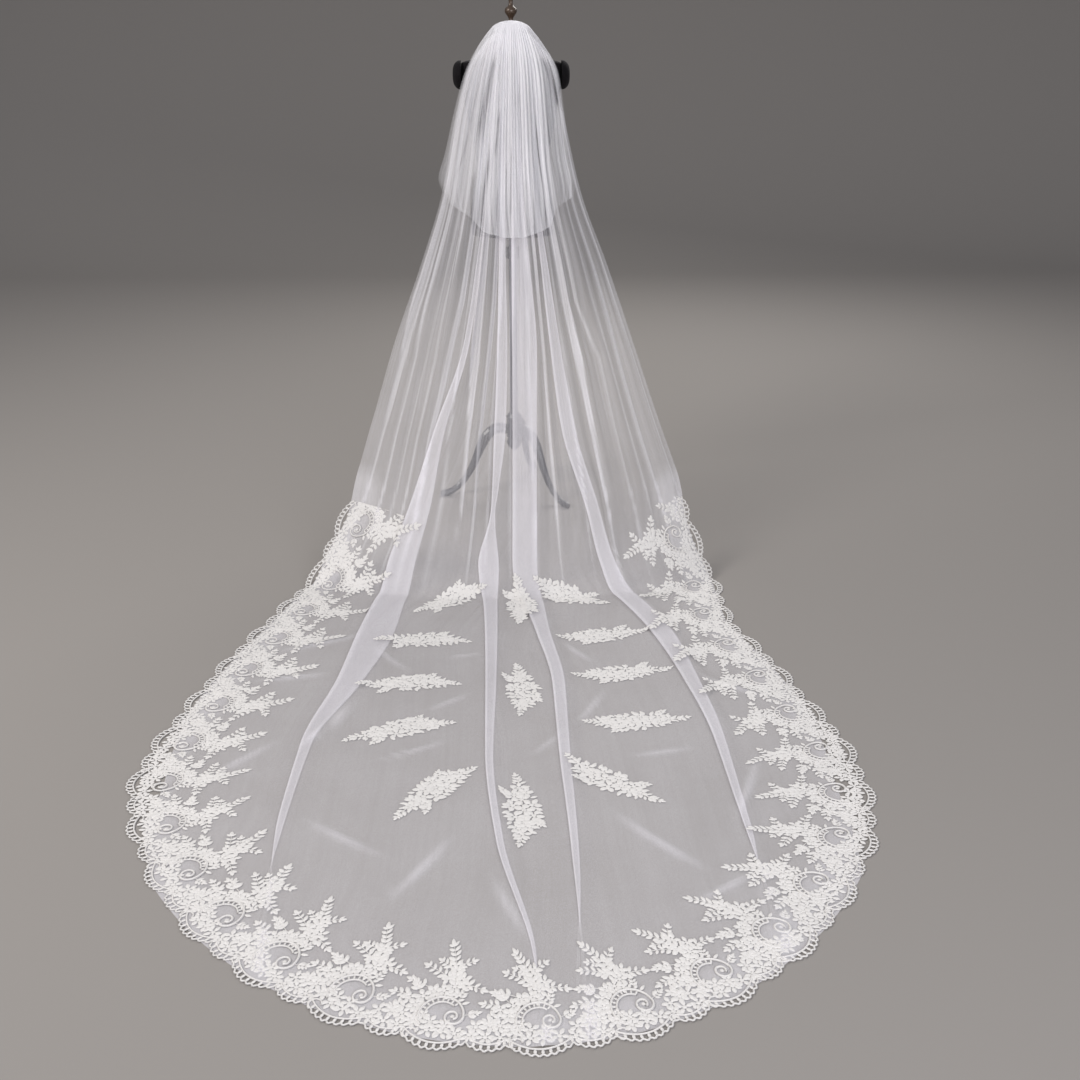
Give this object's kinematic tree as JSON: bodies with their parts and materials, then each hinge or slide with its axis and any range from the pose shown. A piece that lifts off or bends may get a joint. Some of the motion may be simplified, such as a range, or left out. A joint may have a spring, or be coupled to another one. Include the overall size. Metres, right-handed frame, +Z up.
{
  "type": "bridal veil on a limbless dress form",
  "caption": "Two-tier white tulle bridal veil with a corded lace border and lace sprays, its long train spread on the floor behind a black dress form on a tripod.",
  "frame": {"origin": "centre of the whole part's footprint, on the floor", "axes": "+Z up, -Y towards the end of the train, +X to the right as the back of the veil is seen"},
  "size_m": [1.538, 2.7582, 1.562],
  "materials": {
    "tulle": "sheer",
    "lace": "matte embroidery",
    "ribbon": "satin",
    "comb_metal": "polished",
    "form_cloth": "jersey",
    "form_plate": "matte",
    "bronze_paint": "dark bronze",
    "black_paint": "satin black"
  },
  "bodies": {
    "root": {"long_tier": "tulle", "short_tier": "tulle", "gather_band": "ribbon", "comb": "comb_metal", "lace_border": "lace", "spray_01": "lace", "spray_02": "lace", "spray_03": "lace", "spray_04": "lace", "spray_05": "lace", "spray_06": "lace", "spray_07": "lace", "spray_08": "lace", "spray_09": "lace", "spray_10": "lace", "spray_11": "lace", "spray_12": "lace", "spray_13": "lace", "torso": "form_cloth", "arm_cap_left": "form_cloth", "arm_cap_right": "form_cloth", "base_plate": "form_plate", "neck_cap": "bronze_paint", "neck_finial": "bronze_paint", "pole": "black_paint", "height_collar": "black_paint", "hub": "black_paint", "leg_1": "black_paint", "leg_2": "black_paint", "leg_3": "black_paint"}
  },
  "joints": []
}
